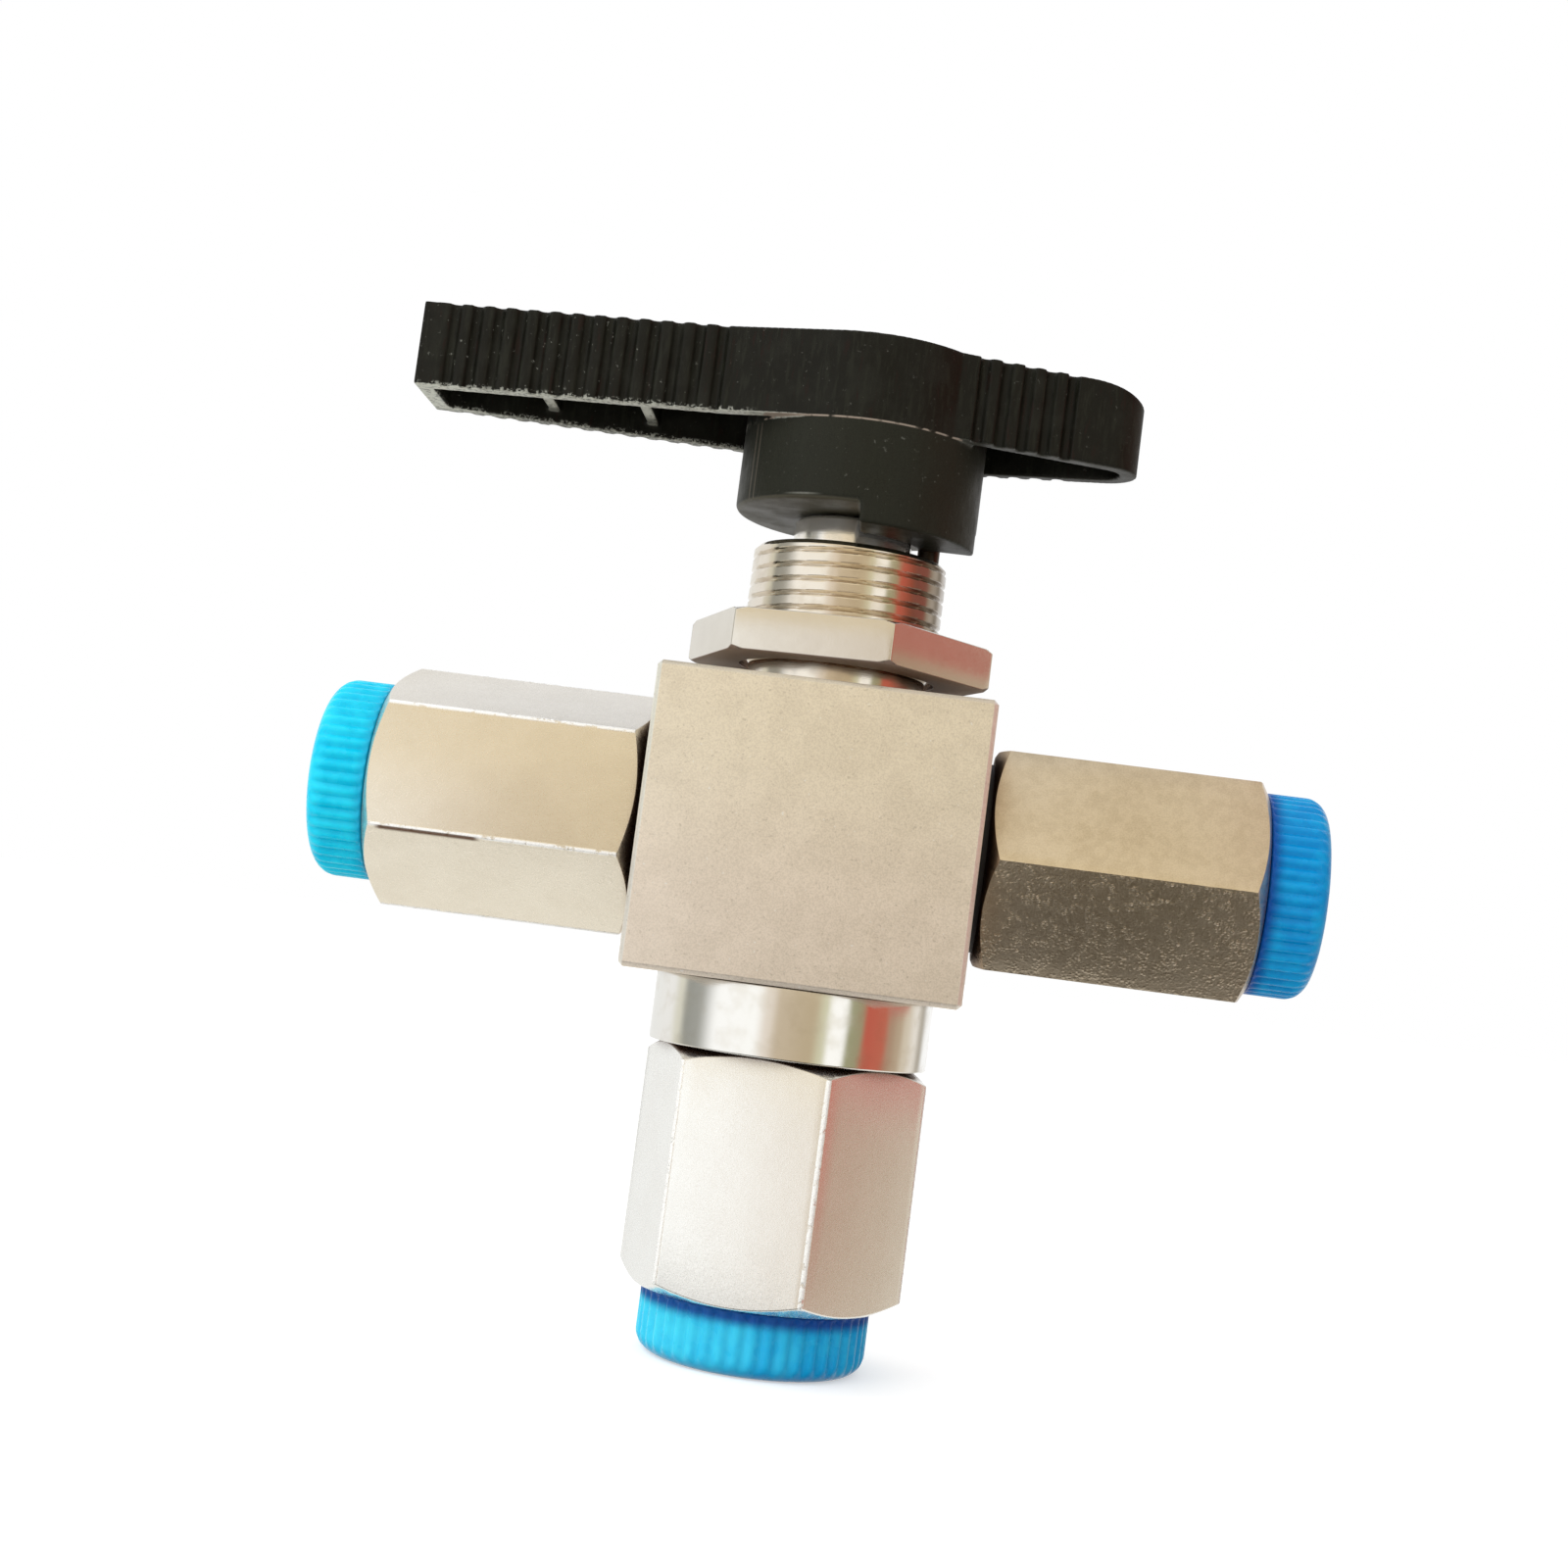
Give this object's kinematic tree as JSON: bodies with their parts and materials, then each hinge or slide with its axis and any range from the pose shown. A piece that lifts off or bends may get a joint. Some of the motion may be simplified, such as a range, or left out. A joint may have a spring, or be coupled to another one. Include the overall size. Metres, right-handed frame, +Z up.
{
  "type": "three-way ball valve",
  "caption": "Three-way ball valve with female pipe ports left, right and below, a threaded neck with a panel nut, a lever handle on top and dust caps in the ports.",
  "frame": {"origin": "on the stem axis, in the top face of the block, where a panel would lie", "axes": "+Z up the stem towards the handle, +X along the run from the left port to the right port, +Y towards the back"},
  "size_m": [0.0884, 0.026, 0.0894],
  "materials": {
    "blasted_steel": "bead-blasted stainless steel, matte with a warm tint",
    "hexagon_steel": "machined and blasted stainless hexagon bar, with a turned collar",
    "satin_steel": "satin stainless steel",
    "turned_steel": "bright turned stainless steel",
    "ptfe": "smooth white PTFE",
    "seal_rubber": "black fluorocarbon rubber",
    "black_nylon": "moulded black nylon, matte and lightly grained",
    "blue_plastic": "semi-gloss blue polyethylene"
  },
  "bodies": {
    "valve": {"body_block": "blasted_steel", "stem_washer": "ptfe", "lower_packing": "ptfe", "upper_packing": "ptfe", "gland": "turned_steel", "lower_disc_spring": "turned_steel", "upper_disc_spring": "turned_steel", "packing_bolt": "turned_steel", "right_stop_pin": "turned_steel", "back_stop_pin": "turned_steel", "left_connector": "hexagon_steel", "right_connector": "hexagon_steel", "bottom_connector": "hexagon_steel", "left_seat": "ptfe", "right_seat": "ptfe", "bottom_seat": "ptfe", "left_body_seal": "seal_rubber", "right_body_seal": "seal_rubber", "bottom_body_seal": "seal_rubber"},
    "lever": {"handle": "black_nylon", "stem": "turned_steel", "ball": "turned_steel", "set_screw": "turned_steel"},
    "nut": {"panel_nut": "satin_steel"},
    "left_plug": {"left_cap": "blue_plastic"},
    "right_plug": {"right_cap": "blue_plastic"},
    "bottom_plug": {"bottom_cap": "blue_plastic"}
  },
  "joints": [
    {"name": "handle_turn", "type": "hinge", "parent": "valve", "child": "lever", "pos_m": [0, 0, 0], "axis": [0, 0, 1], "range_deg": [-180, 0]},
    {"name": "nut_travel", "type": "slide", "parent": "valve", "child": "nut", "axis": [0, 0, 1], "range_m": [-0.0016, 0.0065]},
    {"name": "left_cap_pull", "type": "slide", "parent": "valve", "child": "left_plug", "axis": [-1, 0, 0], "range_m": [0, 0.015]},
    {"name": "right_cap_pull", "type": "slide", "parent": "valve", "child": "right_plug", "axis": [1, 0, 0], "range_m": [0, 0.015]},
    {"name": "bottom_cap_pull", "type": "slide", "parent": "valve", "child": "bottom_plug", "axis": [0, 0, -1], "range_m": [0, 0.015]}
  ]
}
